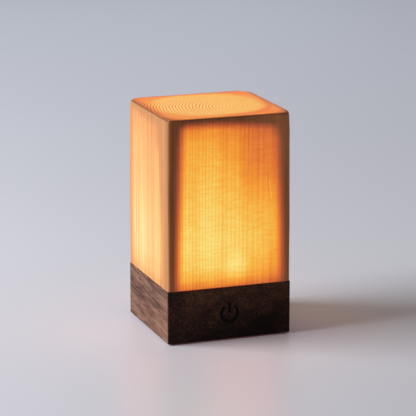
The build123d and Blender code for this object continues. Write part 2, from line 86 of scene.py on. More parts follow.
# %% [markdown]
# ## Writing node trees as arithmetic
# A wood pattern is a formula of the place on the piece: how far from the heart of the tree, how far from an
# edge. Such a formula is long and hard to read as nodes set down one by one. The small class below wraps a
# socket, so that a sum or a product in Python adds the Math node for it, and the formula can be read as it
# stands. Four soft steps come with it: up, down, up and down again, and near zero. Colours go through Mix
# and Vector Math, because a Math node would turn them grey. Geometry trees take the same nodes, so one
# class serves both.

# %% A socket that can be added and multiplied
class Value:
    """A number that changes over a surface."""

    def __init__(self, tree, socket):
        self.tree, self.socket = tree, socket

    def math(self, operation, *inputs):
        node = self.tree.node("ShaderNodeMath", {"operation": operation}, dict(enumerate(inputs)))
        return Value(self.tree, node.outputs[0])

    def __add__(self, other): return self.math("ADD", self, other)
    def __radd__(self, other): return self.math("ADD", other, self)
    def __sub__(self, other): return self.math("SUBTRACT", self, other)
    def __rsub__(self, other): return self.math("SUBTRACT", other, self)
    def __mul__(self, other): return self.math("MULTIPLY", self, other)
    def __rmul__(self, other): return self.math("MULTIPLY", other, self)
    def __truediv__(self, other): return self.math("DIVIDE", self, other)
    def __pow__(self, other): return self.math("POWER", self, other)
    def __abs__(self): return self.math("ABSOLUTE", self)
    def low(self, other): return self.math("MINIMUM", self, other)
    def high(self, other): return self.math("MAXIMUM", self, other)
    def root(self): return self.math("SQRT", self)
    def part(self): return self.math("FRACT", self)
    def sine(self): return self.math("SINE", self)
    def sign(self): return self.math("SIGN", self)

    def step(self, start, end):
        """0 before start and 1 after end, with a soft way between them."""
        node = self.tree.node("ShaderNodeMapRange", {"interpolation_type": "SMOOTHSTEP"},
                              {"Value": self, "From Min": start, "From Max": end})
        return Value(self.tree, node.outputs[0])

    def fade(self, start, end):
        """1 before start and 0 after end."""
        return 1.0 - self.step(start, end)

    def between(self, start, full, last, end):
        """Up from start to full, and down again from last to end."""
        return self.step(start, full) * self.fade(last, end)

    def near(self, inner, outer):
        """1 where the value is within inner of zero, and 0 beyond outer."""
        return abs(self).fade(inner, outer)


# %% A tree that grows one node at a time
class Tree:
    """A node tree with one method that adds any node: its settings first, then its sockets."""

    def __init__(self, tree):
        self.tree = tree

    def node(self, kind, settings=None, inputs=None):
        node = self.tree.nodes.new(kind)
        for name, value in (settings or {}).items():
            if name == "stops":
                self.fill_ramp(node.color_ramp, value)
            else:
                setattr(node, name, value)
        for key, value in (inputs or {}).items():
            self.connect(value, self.socket(node.inputs, key))
        return node

    def socket(self, sockets, key):
        """A socket by its number, its identifier or the name that it shows."""
        if isinstance(key, int):
            return sockets[key]
        return next((s for s in sockets if s.identifier == key), None) or sockets[key]

    def connect(self, value, socket):
        """Give a socket a value, a link, or a list of links where it takes more than one."""
        if isinstance(value, list):
            for one in value:
                self.connect(one, socket)
        elif isinstance(value, Value):
            self.tree.links.new(value.socket, socket)
        elif isinstance(value, bpy.types.NodeSocket):
            self.tree.links.new(value, socket)
        else:
            socket.default_value = value

    def fill_ramp(self, ramp, stops):
        while len(ramp.elements) < len(stops):
            ramp.elements.new(1.0)
        for element, (place, colour) in zip(ramp.elements, stops):
            element.position = place
            element.color = (*colour, 1.0)

    def point(self, vector):
        """The three numbers of a vector, in millimetres."""
        split = self.node("ShaderNodeSeparateXYZ", None, {0: vector})
        return [Value(self, out) * 1000.0 for out in split.outputs]

    def join(self, x, y, z):
        return self.node("ShaderNodeCombineXYZ", None, {0: x, 1: y, 2: z}).outputs[0]

    def noise(self, vector, detail=2.0, roughness=0.5):
        """Even noise from 0 to 1, about half in the middle."""
        node = self.node("ShaderNodeTexNoise", None, {
            "Vector": vector, "Scale": 1.0, "Detail": detail, "Roughness": roughness, "Distortion": 0.0})
        return Value(self, node.outputs[0])

    def ramp(self, value, stops):
        return self.node("ShaderNodeValToRGB", {"stops": stops}, {0: value}).outputs[0]

    def level(self, value, stops):
        """A curve through (place, height) points, as a number."""
        return Value(self, self.ramp(value, [(place, (height,) * 3) for place, height in stops]))

    def blend(self, factor, first, second, kind="MIX"):
        node = self.node("ShaderNodeMix", {"data_type": "RGBA", "blend_type": kind},
                         {"Factor_Float": factor, "A_Color": first, "B_Color": second})
        return self.socket(node.outputs, "Result_Color")

    def scaled(self, colour, factor):
        return self.node("ShaderNodeVectorMath", {"operation": "SCALE"}, {
            0: colour, "Scale": factor}).outputs[0]


# %% A finish, which is a material with its tree
class Finish(Tree):
    """A material whose sockets take numbers, colours or patterns."""

    def __init__(self, name):
        self.material = bpy.data.materials.new(name)
        self.material.use_nodes = True
        super().__init__(self.material.node_tree)
        self.shader = self.tree.nodes["Principled BSDF"]
        self.x, self.y, self.z = self.point(self.node("ShaderNodeTexCoord").outputs["Object"])

    def pattern(self, x_rate, y_rate, z_rate, **look):
        """Noise with a rate to the millimetre for each axis. The lower the rate, the longer its streaks."""
        return self.noise(self.join(self.x * x_rate, self.y * y_rate, self.z * z_rate), **look)

    def set(self, **inputs):
        for name, value in inputs.items():
            self.connect(value, self.shader.inputs[name.replace("_", " ")])

    def bump(self, height, distance, strength):
        """Relief: height from 0 to 1 stands for distance in millimetres."""
        return self.node("ShaderNodeBump", None, {
            "Height": height, "Distance": distance * MM, "Strength": strength}).outputs[0]


def stray(*parts):
    """The sum of some patterns, each taken from its middle and times its share."""
    return sum((pattern - 0.5) * share for pattern, share in parts)


def dress(finish, *nodes):
    """Give CAD nodes this finish in all their material slots."""
    for name in nodes:
        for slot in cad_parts[name].material_slots:
            slot.material = finish.material
    print(finish.material.name, "on", ", ".join(nodes))


# %% [markdown]
# ## The wood of the shade
# The shade is one piece of softwood post, with the heart of the tree inside it. On the top, its growth rings
# show as circles round the heart. On the sides, the same rings are cut along their length and show as upright
# lines: close together where the cut crosses the rings, and wide where it runs along them. Each face could
# have a pattern of its own, but the lines wouldn't meet at the edges, so one formula gives both. It takes the
# distance from the heart, bends it a little, and counts how many rings fit in it. Each ring ends in a dark,
# dense line that comes on slowly and stops at once.

# %% Growth rings
wood = Finish("softwood_lit")
x, y, z = wood.x, wood.y, wood.z
heart_x, heart_y, ring_width = 36.0, -19.0, 2.25
off_x, off_y = x - heart_x, y - heart_y
slow_bend = (wood.pattern(0.03, 0.03, 0.0025, detail=3.0) - 0.5) * 7.0
quick_bend = (wood.pattern(0.25, 0.25, 0.012, detail=1.0) - 0.5) * 0.5
from_heart = (off_x * off_x + off_y * off_y).root() + slow_bend + quick_bend
age = (from_heart / ring_width).part()
late = age.between(0.35, 0.9, 0.93, 1.0)
print("rings of", ring_width, "mm round a heart at", heart_x, heart_y)

# %% [markdown]
# ## The glow
# The walls are thin enough for the light inside to come through, and the corners are solid wood, so each face
# is bright in its middle and dark along its edges. The real thing would need light to scatter inside the
# wood. Here the wood sends out the light itself, which is quicker, leaves no speckles in the picture and
# survives an export. Each kind of face has its own strength. The front and the back are brightest in the
# lower half, near the lamp inside, and less bright towards the right, where the wall is denser. The left
# side, which daylight reaches as well, has upright strands and fades towards its front edge. The top is a
# bright disc in a darker frame, with the rings clear on its left. The colour then follows the strength, from
# a dark red where much wood is in the way to a pale yellow where little is. The right side isn't in the
# photograph, so it is lit like the front.

# %% How near a place is to the edges, and on which face it lies
to_side = half_width - abs(x)
to_front = half_depth - abs(y)
to_top = top - z
above_seam = z - seam
rise = above_seam / (top - seam)
on_top = to_top.fade(0.1, 0.7)
on_front = to_front.fade(0.1, 1.2) * (1.0 - on_top)
on_daylit_side = (1.0 - on_top - on_front) * x.fade(-1.0, 1.0)
at_seam = above_seam.step(0.1, 1.1) * 0.5 + 0.5
print("edge distance uses", len(wood.tree.nodes), "nodes")

# %% Grain that holds back the light
fibre = wood.pattern(0.9, 0.9, 0.012, detail=4.0, roughness=0.6)
streak = wood.pattern(0.16, 0.16, 0.004)
figure = wood.pattern(0.11, 0.11, 0.75, detail=4.0, roughness=0.7)
mottle = wood.pattern(0.35, 0.35, 0.35, detail=4.0, roughness=0.7)
strand = wood.noise(wood.join(x * 0.42, y * 0.50 + 7.3, z * 0.008), detail=3.0, roughness=0.65)
lines = late * (1.0 - x.step(-12.0, 6.0) * 0.4) * -0.09
print("grain uses", len(wood.tree.nodes), "nodes")

# %% Strength of the light through the front and the back
front_by_height = [
    (0.0, 0.54), (0.02, 0.60), (0.058, 0.79), (0.125, 0.91), (0.25, 0.97), (0.42, 0.92), (0.58, 0.87),
    (0.75, 0.79), (0.85, 0.73), (0.91, 0.66), (1.0, 0.60)]
upward = wood.level(rise, front_by_height)
drop = x.step(-17.0, 27.0) * (rise.step(0.35, 0.95) * 0.21 + 0.155)
glare_x, glare_z = x - 5.0, z - 52.0
glare = (glare_x * glare_x + glare_z * glare_z * 0.7).root().fade(1.0, 14.0) * 0.13
dense = (x.between(-7.5, -6.5, -1.5, 0.5) * 0.03
         + x.step(5.5, 7.5) * rise.between(0.45, 0.65, 0.70, 0.85) * 0.035
         + x.between(-38.0, -31.0, -27.0, -19.0) * rise.fade(0.55, 0.85) * 0.055
         + x.step(24.0, 34.0) * rise.fade(0.15, 0.35) * 0.05)
front_grain = lines + stray((fibre, 0.12), (streak, 0.10), (figure, 0.26), (mottle, 0.12))
side_band = to_side - (rise - 0.42) * 3.3 + x.step(0.0, 40.0) * 0.4
top_band = to_top - (x + 20.0).high(0.0) * 0.05
front_level = (upward * (1.022 - drop) + glare - dense + front_grain) * side_band.step(3.2, 13.4)
glow_corner = (to_side * 0.5 + to_top).fade(8.0, 28.0) * (x.step(10.0, 30.0) * 0.09 + 0.05)
front_level = (front_level * top_band.step(0.2, 9.5) - glow_corner) * at_seam
print("front brightest at", max(front_by_height, key=lambda point: point[1])[0], "of the shade's height")

# %% A pale resin streak in the front face, with a dark line beside it
lean = x - 29.6 + (z - 105.0) * 0.10
pale_line = lean.near(0.1, 0.5) * z.between(97.5, 100.0, 110.0, 113.0) * 0.16
dark_line = (lean + 0.9).near(0.1, 0.5) * z.between(99.0, 103.0, 116.0, 122.0) * 0.09
front_level = front_level + (half_depth + y).fade(1.0, 4.0) * (pale_line - dark_line)
print("with the resin streak", len(wood.tree.nodes), "nodes")

# %% Strength of the light through the sides
side_by_height = [
    (0.0, 0.52), (0.02, 0.56), (0.067, 0.81), (0.167, 0.98), (0.29, 0.96), (0.46, 0.88), (0.62, 0.77),
    (0.79, 0.69), (0.90, 0.54), (0.96, 0.40), (1.0, 0.05)]
low_from_rear = [
    (0.0, 0.25), (0.035, 0.32), (0.095, 0.62), (0.155, 0.98), (0.24, 1.04), (0.36, 0.98), (0.50, 0.85),
    (0.62, 0.76), (0.70, 0.80), (0.78, 0.75), (0.84, 0.66), (0.88, 0.36), (0.915, 0.04)]
high_from_rear = [
    (0.0, 0.25), (0.035, 0.30), (0.095, 0.58), (0.155, 0.96), (0.24, 1.02), (0.36, 0.82), (0.50, 0.70),
    (0.62, 0.74), (0.70, 0.80), (0.78, 0.66), (0.83, 0.36), (0.88, 0.12), (0.93, 0.0)]
forward = (half_depth - y) / (2 * half_depth)
along_low = wood.level(forward, low_from_rear)
along_high = wood.level(forward, high_from_rear)
along = along_low + (along_high - along_low) * rise.step(0.25, 0.70)
front_fade = forward.step(0.60, 0.82) * rise.step(0.70, 0.95) * 0.6
side_fade = (to_top - forward.low(0.35) * 14.0).step(-3.0, 5.0) * (1.0 - front_fade)
sunny_line = (y + 16.5).near(1.0, 4.5) * rise.between(0.10, 0.25, 0.65, 0.85) * 0.08
side_grain = (stray((fibre, 0.30), (strand, 0.85), (streak, 0.50), (figure, 0.06))
              + late * -0.06 + (mottle - 0.5) * rise.step(0.75, 0.95) * 0.40)
side_level = (wood.level(rise, side_by_height) + side_grain + sunny_line) * along * side_fade * at_seam
far_side_level = (upward + side_grain) * to_front.step(3.4, 13.6) * to_top.step(0.2, 9.5) * at_seam
print("with the sides", len(wood.tree.nodes), "nodes")

# %% Strength of the light through the top
disc_reach_x, disc_reach_y, disc_y, squareness = 41.5, 40.5, 1.5, 2.6
across = abs(x) / disc_reach_x
back = abs(y - disc_y) / disc_reach_y
disc = (across ** squareness + back ** squareness) ** (1 / squareness)
frame_part = disc.step(0.78, 1.0)
dip = (disc - 0.97).near(0.0, 0.09) * (x - y).step(25.0, 50.0) * 0.12
clear_part = (1.0 - x.step(-9.0, 13.0) * 0.84) * (1.0 - abs(y + 9.0).step(14.0, 40.0) * 0.55)
broken_up = (stray((mottle, 2.6), (strand, 2.2)) + 1.0).high(0.0)
top_rings = (0.45 - late) * clear_part * broken_up * 0.85
top_grain = top_rings + stray((mottle, 0.34), (streak, 0.24))
top_level = 0.79 - frame_part * 0.32 - dip + top_grain * (1.0 - frame_part * 0.4)
side_edge = to_side.step(0.5, 6.5) * 0.62 + 0.38
rear_edge = (half_depth - y).step(0.5, 6.5) * 0.55 + 0.45
front_corner = (to_side + half_depth + y).fade(2.0, 19.0)
top_level = top_level * side_edge * rear_edge * (1.0 - front_corner * 0.5)
print("with the top", len(wood.tree.nodes), "nodes")

# %% Colours of that light: on faces in shade, on the top, and on the side that daylight reaches too
shade_glow = wood.ramp(far_side_level + (front_level - far_side_level) * on_front, [
    (0.00, (0.0, 0.0, 0.0)), (0.10, (0.07, 0.012, 0.008)), (0.30, (0.34, 0.050, 0.014)),
    (0.50, (0.64, 0.142, 0.018)), (0.68, (0.80, 0.29, 0.022)), (0.82, (0.82, 0.46, 0.056)),
    (0.94, (0.84, 0.63, 0.145)), (1.00, (0.85, 0.71, 0.21))])
side_glow = wood.ramp(side_level, [
    (0.00, (0.0, 0.0, 0.0)), (0.30, (0.18, 0.055, 0.000)), (0.50, (0.29, 0.160, 0.040)),
    (0.65, (0.33, 0.250, 0.074)), (0.80, (0.33, 0.320, 0.110)), (1.00, (0.34, 0.470, 0.225))])
top_glow = wood.ramp(top_level, [
    (0.00, (0.0, 0.0, 0.0)), (0.30, (0.36, 0.062, 0.004)), (0.50, (0.57, 0.150, 0.026)),
    (0.60, (0.58, 0.225, 0.034)), (0.80, (0.58, 0.350, 0.066)), (1.00, (0.60, 0.440, 0.115))])
glow = wood.blend(on_daylit_side, wood.blend(on_top, shade_glow, top_glow), side_glow)
print("the glow takes", len(wood.tree.nodes), "nodes")

# %% [markdown]
# ## The wood under the glow
# Daylight shows the wood's own colour, most of all in the dark bands where little light comes through. On the
# left side it is fresh and streaky. The front and the back are painted darker and browner, as painted shade,
# paler towards the right and the upper right. The top is end grain, with dark rings, and its corners at the
# front are darker. The edge round the top is painted darkest, as painted shade on its rounding. One colour for
# the whole block would be simpler, but each cut looks different. The patterns are those of the glow, so colour
# and glow show the same fibres.

# %% Colour of the wood
early_wood, late_wood = (0.60, 0.268, 0.106, 1), (0.46, 0.185, 0.068, 1)
pale_strand, dark_strand = (0.71, 0.36, 0.158, 1), (0.46, 0.180, 0.062, 1)
disc_colour, ring_colour = (0.58, 0.240, 0.100, 1), (0.42, 0.130, 0.042, 1)
frame_colour, frame_right = (0.60, 0.215, 0.080, 1), (0.53, 0.275, 0.150, 1)
corner_colour, shaded_edge_colour = (0.20, 0.085, 0.040, 1), (0.16, 0.060, 0.024, 1)
# Painted shade: the front and back colours are darker and browner than the same wood on the other faces.
shaded_front_dark, shaded_front_pale = (0.270, 0.092, 0.028, 1), (0.57, 0.220, 0.084, 1)
cut_along = wood.blend(late * 0.6, early_wood, late_wood)
cut_along = wood.blend((fibre * 0.4 + strand * 0.6 - 0.36) * 1.7, cut_along, pale_strand)
cut_along = wood.blend((0.52 - strand).step(0.0, 0.25) * 0.28, cut_along, dark_strand)
frame_wood = wood.blend(x.step(32.0, 42.0), frame_colour, frame_right)
cut_across = wood.blend(frame_part, disc_colour, frame_wood)
cut_across = wood.blend(late, cut_across, ring_colour)
cut_across = wood.blend(front_corner * 0.7, cut_across, corner_colour)
# Painted shade on the front and the back, paler towards the right and the upper right.
paler_right = x.step(30.0, 45.0) * 0.50 + x.step(5.0, 35.0) * rise.step(0.6, 1.0) * 0.65
shaded_front_colour = wood.blend((fibre - 0.25) * 1.1 + paler_right, shaded_front_dark, shaded_front_pale)
own_colour = wood.blend(on_front, wood.blend(on_top, cut_along, cut_across), shaded_front_colour)
# Painted shade along the rounded edge round the top: the wood turns darkest there.
top_edge_shade = to_top.fade(0.7, 1.7) * to_side.low(to_front).fade(0.5, 1.5)
own_colour = wood.blend(top_edge_shade * 0.75, own_colour, shaded_edge_colour)
print("the wood takes", len(wood.tree.nodes), "nodes")

# %% Surface of the wood
relief = wood.bump(late * 0.6 + fibre * 0.4, distance=0.12, strength=0.5)
wood.set(Base_Color=own_colour, Roughness=0.56 + fibre * 0.14, Normal=relief, Emission_Color=glow,
         Emission_Strength=1.0, Specular_IOR_Level=0.18)
dress(wood, "wood_shade")

# %% [markdown]
# ## The block of the shade
# The block is planed square, and then its edges are softened by hand with sandpaper. The edge round the top
# stays crisp but for its corners, and the upright edges are rounder and a little uneven. They are worn more
# towards the top, most of all at the rear right, and hardly at the front left. A bevel would be simpler, but
# it is the same all along an edge. A rule can vary: take a fine box, hold a smaller box inside it, and pull
# back every point that is further from the small box than the radius of the edge. A square of points then
# becomes a quarter of a circle. Geometry Nodes can apply the rule to every point at once, with a radius that
# follows noise and the corner. Points that fall together are merged, so that the mesh stays closed. Then the
# hollow and the four holes for the magnets are cut out. The finished mesh is one closed solid with the sizes
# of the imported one. It never grows past it, because the rule only pulls points inwards.

# %% A tree with named inputs
class Recipe(Tree):
    """A geometry tree, used as a modifier, with one named input for each size."""

    def __init__(self, name, **sizes):
        group = bpy.data.node_groups.new(name, "GeometryNodeTree")
        super().__init__(group)
        group.interface.new_socket("Geometry", in_out="INPUT", socket_type="NodeSocketGeometry")
        group.interface.new_socket("Geometry", in_out="OUTPUT", socket_type="NodeSocketGeometry")
        self.ways = {}
        for size, value in sizes.items():
            kind = {float: "NodeSocketFloat", int: "NodeSocketInt"}[type(value)]
            self.ways[size] = group.interface.new_socket(size, in_out="INPUT", socket_type=kind).identifier
        self.sizes = sizes
        self.start = self.node("NodeGroupInput")

    def size(self, name):
        return Value(self, self.start.outputs[name])

    def crisp(self, geometry):
        """Shade round parts smoothly and keep the edges sharper than half a radian sharp."""
        angle = Value(self, self.node("GeometryNodeInputMeshEdgeAngle").outputs[0])
        smooth = self.node("GeometryNodeSetShadeSmooth", {"domain": "FACE"}, {
            "Geometry": geometry, "Shade Smooth": True}).outputs[0]
        return self.node("GeometryNodeSetShadeSmooth", {"domain": "EDGE"}, {
            "Geometry": smooth, "Selection": angle.step(0.5, 0.52), "Shade Smooth": False}).outputs[0]

    def make(self, name, mesh, geometry, finish):
        """End the tree, run it on the mesh and keep the result as a plain piece."""
        real = self.node("GeometryNodeRealizeInstances", None, {0: geometry}).outputs[0]
        painted = self.node("GeometryNodeSetMaterial", None, {"Geometry": real, "Material": finish.material})
        self.node("NodeGroupOutput", None, {0: painted.outputs[0]})
        piece = bpy.data.objects.new(name, mesh)
        bpy.context.scene.collection.objects.link(piece)
        modifier = piece.modifiers.new("recipe", "NODES")
        modifier.node_group = self.tree
        for size, value in self.sizes.items():
            modifier[self.ways[size]] = value
        seen_by = bpy.context.evaluated_depsgraph_get()
        result = bpy.data.meshes.new_from_object(piece.evaluated_get(seen_by))
        piece.modifiers.remove(modifier)
        piece.data = result
        print(name, "has", len(result.polygons), "faces")
        return piece


# %% A box whose lines crowd towards its edges
block = Recipe("softened_block", Edge=1.3, Upright=2.3, Wander=0.9, Chamfer=0.4, Blunt=2.4, Near_top=1.2,
               Front_right=2.2, Rear_left=1.2, Rear_right=7.0, Lines=41)
wide, deep, tall = 2 * half_width, 2 * half_depth, top - seam
quarter_turn = math.pi / 2
box = block.node("GeometryNodeMeshCube", None, {
    "Size": (2 * MM, 2 * MM, MM), "Vertices X": block.size("Lines"),
    "Vertices Y": block.size("Lines"), "Vertices Z": block.size("Lines")}).outputs[0]
across_x, across_y, along_z = block.point(block.node("GeometryNodeInputPosition").outputs[0])
box_x = (across_x * quarter_turn).sine() * half_width
box_y = (across_y * quarter_turn).sine() * half_depth
box_z = ((along_z + 0.5) * quarter_turn).sine() * tall + seam
row = (along_z + 0.5) * (block.size("Lines") - 1.0)
rim_row = row.fade(0.2, 0.8)
next_row = row.between(0.2, 0.8, 1.2, 1.8)
print("block of", wide, deep, tall, "mm")


# %% Round the edge round the top, and break the edge at the rim
def beyond(value, bound):
    """How far a value goes past a bound, or 0."""
    return (value - bound).high(0.0)


def roundness(first, second):
    """The factor that turns a square of two distances into a quarter of a circle."""
    return first.high(second) / (first * first + second * second).root().high(0.001)


corner_reach = 9.0
uneven = block.noise(block.join(box_x * 0.03, box_y * 0.03, box_z * 0.02), detail=1.0).step(0.35, 0.75)
sanded = 1.0 - box_x.fade(-20.0, 20.0) * box_y.fade(-20.0, 20.0) * 0.7
at_corner = (abs(box_x).step(half_width - corner_reach, half_width)
             * abs(box_y).step(half_depth - corner_reach, half_depth))
top_radius = (block.size("Edge") + uneven * block.size("Wander") * 0.6
              + at_corner * sanded * block.size("Blunt"))
past_x = beyond(abs(box_x), half_width - top_radius)
past_y = beyond(abs(box_y), half_depth - top_radius)
past_z = beyond(box_z, top - top_radius)
spare = 1.0 - roundness(past_x.high(past_y), past_z)
broken = rim_row * block.size("Chamfer")
side_x = (abs(box_x) - past_x * spare).low(half_width - broken)
side_y = (abs(box_y) - past_y * spare).low(half_depth - broken)
level = box_z - past_z * spare
level = level * (1.0 - next_row) + (block.size("Chamfer") + seam) * next_row
print("corners of the top edge are blunt over", corner_reach, "mm")

# %% Round the four upright edges, more so towards the top
right, rear = box_x.step(15.0, 25.0), box_y.step(15.0, 25.0)
wear = (right * (1.0 - rear) * block.size("Front_right") + rear * (1.0 - right) * block.size("Rear_left")
        + rear * right * block.size("Rear_right"))
near_top = level.step(top - 16.0, top - 2.0)
extra = wear * (level - seam).step(0.0, tall) + near_top * sanded * block.size("Near_top")
edge_radius = block.size("Upright") + uneven * block.size("Wander") + extra
past_x = beyond(side_x, half_width - edge_radius)
past_y = beyond(side_y, half_depth - edge_radius)
spare = 1.0 - roundness(past_x, past_y)
soft_x = (side_x - past_x * spare) * box_x.sign()
soft_y = (side_y - past_y * spare) * box_y.sign()
target = block.join(soft_x * MM, soft_y * MM, level * MM)
soft = block.node("GeometryNodeSetPosition", None, {"Geometry": box, "Position": target}).outputs[0]
slivers_under = 0.02
soft = block.node("GeometryNodeMergeByDistance", None, {
    "Geometry": soft, "Distance": slivers_under * MM}).outputs[0]
print("upright edges rounded, points nearer than", slivers_under, "mm merged")

# %% The hollow, as a closed body that starts a little below the rim
wall, corner, below, weld = 7.0, 6.0, 1.0, 0.01
plan = block.node("GeometryNodeCurvePrimitiveQuadrilateral", None, {
    "Width": (wide - 2 * wall) * MM, "Height": (deep - 2 * wall) * MM}).outputs[0]
plan = block.node("GeometryNodeFilletCurve", {"mode": "POLY"}, {
    "Curve": plan, "Count": 12, "Radius": corner * MM}).outputs[0]
sheet = block.node("GeometryNodeFillCurve", {"mode": "NGONS"}, {"Curve": plan}).outputs[0]
sheet = block.node("GeometryNodeTransform", None, {
    "Geometry": sheet, "Translation": (0, 0, (seam - below) * MM)}).outputs[0]
raised = block.node("GeometryNodeExtrudeMesh", {"mode": "FACES"}, {
    "Mesh": sheet, "Offset": (0.0, 0.0, 1.0), "Offset Scale": (tall - wall + below) * MM,
    "Individual": False}).outputs[0]
underside = block.node("GeometryNodeFlipFaces", None, {0: sheet}).outputs[0]
hollow = block.node("GeometryNodeJoinGeometry", None, {0: [raised, underside]}).outputs[0]
hollow = block.node("GeometryNodeMergeByDistance", None, {
    "Geometry": hollow, "Distance": weld * MM}).outputs[0]
print("walls of", wall, "mm, corners of", corner, "mm inside")

# %% Cut the hollow and the four magnet holes
magnet_radius, bore_radius = 2.5, 2.55
magnet_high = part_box("shade_magnets")[1]
reach_x, reach_y = magnet_high.x - magnet_radius * MM, magnet_high.y - magnet_radius * MM
bore = block.node("GeometryNodeMeshCylinder", None, {
    "Vertices": 40, "Radius": bore_radius * MM, "Depth": 2 * (magnet_high.z - seam * MM)}).outputs[0]
bores = block.node("GeometryNodeInstanceOnPoints", None, {
    "Points": block.start.outputs["Geometry"], "Instance": bore}).outputs[0]
bores = block.node("GeometryNodeRealizeInstances", None, {0: bores}).outputs[0]
cut = block.node("GeometryNodeMeshBoolean", {"operation": "DIFFERENCE", "solver": "EXACT"}, {
    "Mesh 1": soft, "Mesh 2": [hollow, bores]}).outputs[0]
print("bores of", 2 * bore_radius, "mm for magnets of", 2 * magnet_radius, "mm")


# %% Make the block and let it stand for the solid
def points_mesh(name, points):
    """A mesh that holds nothing but points, for a recipe to set its pieces on."""
    mesh = bpy.data.meshes.new(name)
    mesh.from_pydata(points, [], [])
    return mesh


def four_corners(x, y, z):
    """One place near each corner of the lamp, at the same distance from its middle."""
    return [(sx * x, sy * y, z) for sx in (-1, 1) for sy in (-1, 1)]


places = points_mesh("magnet_places", four_corners(reach_x, reach_y, seam * MM))
shade_block = block.make("shade_block", places, block.crisp(cut), wood)
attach(shade_block, "shade")
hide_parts("wood_shade")
print("block spans", [round(s / MM, 2) for s in shade_block.dimensions])

# %% [markdown]
# ## The walnut of the base
# The base is one block of walnut whose fibres run from front to back. The sides show long grain: broad bands,
# light and dark, and in them many short dashes of brown and purple. The front and the back are end grain,
# which drinks up oil and turns nearly black, with fine pale specks and only a trace of the growth rings. Each
# face could have a flat pattern, but here too they wouldn't meet. Noise stretched along the fibres gives the
# dashes, and the end grain is such noise cut across. The engraved power symbol is charred, so it is blacker
# than the wood round it.

# %% Walnut streaks
walnut = Finish("walnut_oiled")
x, y, z = walnut.x, walnut.y, walnut.z
band_heights = [
    (0.0, 0.42), (0.06, 0.46), (0.16, 0.53), (0.26, 0.57), (0.38, 0.52), (0.48, 0.50), (0.56, 0.47),
    (0.64, 0.42), (0.70, 0.54), (0.77, 0.62), (0.84, 0.58), (0.92, 0.49), (1.0, 0.42)]
sway = walnut.pattern(0.02, 0.014, 0.03) - 0.5
streak_line = z - y * 0.05 + sway * 5.0
band = walnut.level(streak_line / seam, band_heights)
broad = walnut.noise(walnut.join(x * 0.10, y * 0.022, streak_line * 0.20), detail=5.0, roughness=0.66)
dashes = walnut.noise(walnut.join(x * 0.9, y * 0.06, streak_line * 1.1), detail=4.0, roughness=0.72)
hue = walnut.noise(walnut.join(x * 0.2, y * 0.05, streak_line * 0.30)).step(0.35, 0.65)
streaks = stray((broad, 0.30), (dashes, 0.85), (band, 0.55)) + 0.490
print("streaks use", len(walnut.tree.nodes), "nodes")

# %% Colour of the long grain
red_tint, olive_tint = (1.0, 0.84, 0.88, 1), (0.96, 1.0, 0.90, 1)
pore_colour, sapwood = (0.030, 0.014, 0.010, 1), (0.42, 0.215, 0.135, 1)
pores = walnut.pattern(3.0, 0.16, 3.0, detail=1.0).step(0.60, 0.72)
sap = z.fade(3.0, 14.0) * 0.55 + (half_depth + y).fade(2.0, 34.0) * 0.40
long_grain = walnut.ramp(streaks, [
    (0.34, (0.040, 0.018, 0.013)), (0.43, (0.105, 0.052, 0.036)), (0.51, (0.215, 0.112, 0.078)),
    (0.59, (0.320, 0.180, 0.124)), (0.72, (0.460, 0.280, 0.200))])
long_grain = walnut.blend(0.7, long_grain, walnut.blend(hue, red_tint, olive_tint), "MULTIPLY")
long_grain = walnut.blend(pores * 0.45, long_grain, pore_colour)
long_grain = walnut.blend(sap * 0.42, long_grain, sapwood)
print("long grain uses", len(walnut.tree.nodes), "nodes")

# %% End grain
arc_x, arc_z, arc_width = x - 16.0, z + 6.0, 1.7
arcs = (arc_x * arc_x + arc_z * arc_z * 1.3).root() + sway * 8.0
arc = (arcs / arc_width).part()
speck = walnut.pattern(0.62, 0.05, 0.62, detail=3.0, roughness=0.80)
patch = walnut.pattern(0.07, 0.01, 0.10, detail=3.0, roughness=0.6)
olive = (z - 2.0 - x * 0.40).fade(-1.0, 6.0) * x.between(-6.0, 12.0, 28.0, 40.0)
left_dark = (x + half_width).fade(0.0, 16.0) * z.step(18.0, 36.0)
# The term in z makes the end grain darker towards the floor: painted shade.
end_level = speck * 0.66 + patch * 0.46 + arc * 0.05 + (z - 19.0) * 0.0050
end_level = end_level - olive * 0.13 - left_dark * 0.10 - 0.112
end_grain = walnut.ramp(end_level, [
    (0.32, (0.0072, 0.0042, 0.0030)), (0.45, (0.025, 0.0108, 0.0085)), (0.56, (0.062, 0.0265, 0.0150)),
    (0.72, (0.135, 0.063, 0.033))])
at_end = (half_depth - abs(y)).fade(0.2, 1.6)
colour = walnut.blend(at_end, long_grain, end_grain)
print("end grain rings are", arc_width, "mm wide")

# %% The charred symbol
symbol_z, symbol_radius = 19.2, 5.95
stroke_inner, stroke_outer = 0.8, 1.35
char_colour = (0.0022, 0.0018, 0.0018, 1)
up = z - symbol_z
from_middle = (x * x + up * up).root()
open_top = (abs(x) - up * 0.70).fade(-0.3, 0.3)
ring = (from_middle - symbol_radius).near(stroke_inner, stroke_outer) * (1.0 - open_top)
bar = x.near(stroke_inner, stroke_outer) * up.between(0.2, 0.8, 7.8, 8.5)
charred = ring.high(bar) * (half_depth + y).fade(0.6, 0.8)
colour = walnut.blend(charred, colour, char_colour)
print("symbol charred at height", symbol_z)

# %% Surface of the walnut
walnut_relief = walnut.bump(dashes * 0.4 + speck * 0.4 - pores * 0.3, distance=0.12, strength=0.6)
walnut.set(Base_Color=colour, Roughness=0.50 + dashes * 0.16 + at_end * 0.12, Normal=walnut_relief,
           Specular_IOR_Level=0.09)
dress(walnut, "walnut_base")

# %% [markdown]
# ## The light inside
# Under the shade sits an opal cap over the light board. It shows only when the shade is lifted off. Lights
# inside a milky cap would be truer, but slow and speckled. The cap lets light through evenly, so a pale
# plastic that sends out a warm light of its own looks the same. It sends out less down at the flange.

